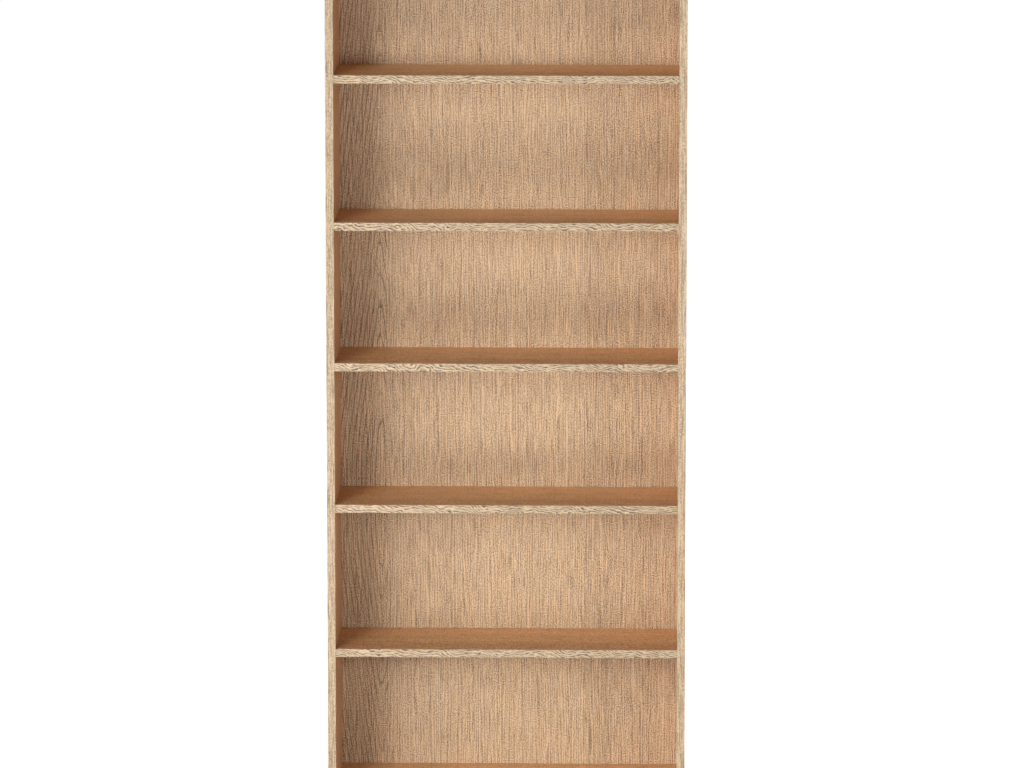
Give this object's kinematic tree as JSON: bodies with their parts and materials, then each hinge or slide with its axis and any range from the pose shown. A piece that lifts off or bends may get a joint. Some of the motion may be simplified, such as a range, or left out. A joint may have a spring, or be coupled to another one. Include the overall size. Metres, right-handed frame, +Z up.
{
  "type": "bookcase with adjustable shelves",
  "caption": "Tall open oak-veneer bookcase with a fixed middle shelf, adjustable shelves on pins, a thin back, a plinth and a wall bracket.",
  "frame": {"origin": "on the floor, under the middle of the case's footprint", "axes": "+X to the right seen from the front, -Y out of the open front, +Z up"},
  "size_m": [0.8, 0.28, 2.055],
  "materials": {
    "oak_side": "oak veneer on chipboard, clear satin lacquer",
    "oak_edge": "pale oak edge strip, clear satin lacquer",
    "oak_shelf": "oak veneer on chipboard, clear satin lacquer",
    "oak_plinth": "oak veneer on chipboard, clear satin lacquer",
    "oak_back": "oak veneer on fibreboard, clear satin lacquer",
    "beech": "turned beech, bare",
    "zinc_steel": "bright zinc plate",
    "zinc_cast": "die-cast zinc",
    "pin_steel": "nickel-plated steel",
    "bracket_steel": "zinc-plated sheet steel",
    "glide_plastic": "moulded polyethylene"
  },
  "bodies": {
    "case": {"side_left": "oak_side", "side_left_edge": "oak_edge", "side_right": "oak_side", "side_right_edge": "oak_edge", "bottom_panel": "oak_shelf", "bottom_panel_edge": "oak_edge", "bottom_panel_cam_bolts": "zinc_steel", "bottom_panel_cam_locks": "zinc_cast", "bottom_panel_dowels": "beech", "fixed_shelf": "oak_shelf", "fixed_shelf_edge": "oak_edge", "fixed_shelf_cam_bolts": "zinc_steel", "fixed_shelf_cam_locks": "zinc_cast", "fixed_shelf_dowels": "beech", "top_panel": "oak_shelf", "top_panel_edge": "oak_edge", "top_panel_cam_bolts": "zinc_steel", "top_panel_cam_locks": "zinc_cast", "top_panel_dowels": "beech", "plinth": "oak_plinth", "plinth_dowels": "beech", "back_panel": "oak_back", "back_nails": "zinc_steel", "wall_bracket": "bracket_steel", "wall_bracket_screws": "zinc_steel", "glide_left_front": "glide_plastic", "glide_left_rear": "glide_plastic", "glide_right_front": "glide_plastic", "glide_right_rear": "glide_plastic"},
    "adjustable_shelf_1": {"adjustable_shelf_1": "oak_shelf", "adjustable_shelf_1_edge": "oak_edge"},
    "adjustable_shelf_2": {"adjustable_shelf_2": "oak_shelf", "adjustable_shelf_2_edge": "oak_edge"},
    "adjustable_shelf_3": {"adjustable_shelf_3": "oak_shelf", "adjustable_shelf_3_edge": "oak_edge"},
    "adjustable_shelf_4": {"adjustable_shelf_4": "oak_shelf", "adjustable_shelf_4_edge": "oak_edge"},
    "shelf_1_pin_left_front": {"shelf_1_pin_left_front": "pin_steel"},
    "shelf_1_pin_left_rear": {"shelf_1_pin_left_rear": "pin_steel"},
    "shelf_1_pin_right_front": {"shelf_1_pin_right_front": "pin_steel"},
    "shelf_1_pin_right_rear": {"shelf_1_pin_right_rear": "pin_steel"},
    "shelf_2_pin_left_front": {"shelf_2_pin_left_front": "pin_steel"},
    "shelf_2_pin_left_rear": {"shelf_2_pin_left_rear": "pin_steel"},
    "shelf_2_pin_right_front": {"shelf_2_pin_right_front": "pin_steel"},
    "shelf_2_pin_right_rear": {"shelf_2_pin_right_rear": "pin_steel"},
    "shelf_3_pin_left_front": {"shelf_3_pin_left_front": "pin_steel"},
    "shelf_3_pin_left_rear": {"shelf_3_pin_left_rear": "pin_steel"},
    "shelf_3_pin_right_front": {"shelf_3_pin_right_front": "pin_steel"},
    "shelf_3_pin_right_rear": {"shelf_3_pin_right_rear": "pin_steel"},
    "shelf_4_pin_left_front": {"shelf_4_pin_left_front": "pin_steel"},
    "shelf_4_pin_left_rear": {"shelf_4_pin_left_rear": "pin_steel"},
    "shelf_4_pin_right_front": {"shelf_4_pin_right_front": "pin_steel"},
    "shelf_4_pin_right_rear": {"shelf_4_pin_right_rear": "pin_steel"}
  },
  "joints": [
    {"name": "lift_shelf_1", "type": "slide", "parent": "case", "child": "adjustable_shelf_1", "axis": [0, 0, 1], "range_m": [0, 0.3083]},
    {"name": "lift_shelf_2", "type": "slide", "parent": "case", "child": "adjustable_shelf_2", "axis": [0, 0, 1], "range_m": [0, 0.2997]},
    {"name": "lift_shelf_3", "type": "slide", "parent": "case", "child": "adjustable_shelf_3", "axis": [0, 0, 1], "range_m": [0, 0.3083]},
    {"name": "lift_shelf_4", "type": "slide", "parent": "case", "child": "adjustable_shelf_4", "axis": [0, 0, 1], "range_m": [0, 0.3177]},
    {"name": "pull_shelf_1_pin_left_front", "type": "slide", "parent": "case", "child": "shelf_1_pin_left_front", "axis": [1, 0, 0], "range_m": [0, 0.0115]},
    {"name": "pull_shelf_1_pin_left_rear", "type": "slide", "parent": "case", "child": "shelf_1_pin_left_rear", "axis": [1, 0, 0], "range_m": [0, 0.0115]},
    {"name": "pull_shelf_1_pin_right_front", "type": "slide", "parent": "case", "child": "shelf_1_pin_right_front", "axis": [-1, 0, 0], "range_m": [0, 0.0115]},
    {"name": "pull_shelf_1_pin_right_rear", "type": "slide", "parent": "case", "child": "shelf_1_pin_right_rear", "axis": [-1, 0, 0], "range_m": [0, 0.0115]},
    {"name": "pull_shelf_2_pin_left_front", "type": "slide", "parent": "case", "child": "shelf_2_pin_left_front", "axis": [1, 0, 0], "range_m": [0, 0.0115]},
    {"name": "pull_shelf_2_pin_left_rear", "type": "slide", "parent": "case", "child": "shelf_2_pin_left_rear", "axis": [1, 0, 0], "range_m": [0, 0.0115]},
    {"name": "pull_shelf_2_pin_right_front", "type": "slide", "parent": "case", "child": "shelf_2_pin_right_front", "axis": [-1, 0, 0], "range_m": [0, 0.0115]},
    {"name": "pull_shelf_2_pin_right_rear", "type": "slide", "parent": "case", "child": "shelf_2_pin_right_rear", "axis": [-1, 0, 0], "range_m": [0, 0.0115]},
    {"name": "pull_shelf_3_pin_left_front", "type": "slide", "parent": "case", "child": "shelf_3_pin_left_front", "axis": [1, 0, 0], "range_m": [0, 0.0115]},
    {"name": "pull_shelf_3_pin_left_rear", "type": "slide", "parent": "case", "child": "shelf_3_pin_left_rear", "axis": [1, 0, 0], "range_m": [0, 0.0115]},
    {"name": "pull_shelf_3_pin_right_front", "type": "slide", "parent": "case", "child": "shelf_3_pin_right_front", "axis": [-1, 0, 0], "range_m": [0, 0.0115]},
    {"name": "pull_shelf_3_pin_right_rear", "type": "slide", "parent": "case", "child": "shelf_3_pin_right_rear", "axis": [-1, 0, 0], "range_m": [0, 0.0115]},
    {"name": "pull_shelf_4_pin_left_front", "type": "slide", "parent": "case", "child": "shelf_4_pin_left_front", "axis": [1, 0, 0], "range_m": [0, 0.0115]},
    {"name": "pull_shelf_4_pin_left_rear", "type": "slide", "parent": "case", "child": "shelf_4_pin_left_rear", "axis": [1, 0, 0], "range_m": [0, 0.0115]},
    {"name": "pull_shelf_4_pin_right_front", "type": "slide", "parent": "case", "child": "shelf_4_pin_right_front", "axis": [-1, 0, 0], "range_m": [0, 0.0115]},
    {"name": "pull_shelf_4_pin_right_rear", "type": "slide", "parent": "case", "child": "shelf_4_pin_right_rear", "axis": [-1, 0, 0], "range_m": [0, 0.0115]}
  ]
}
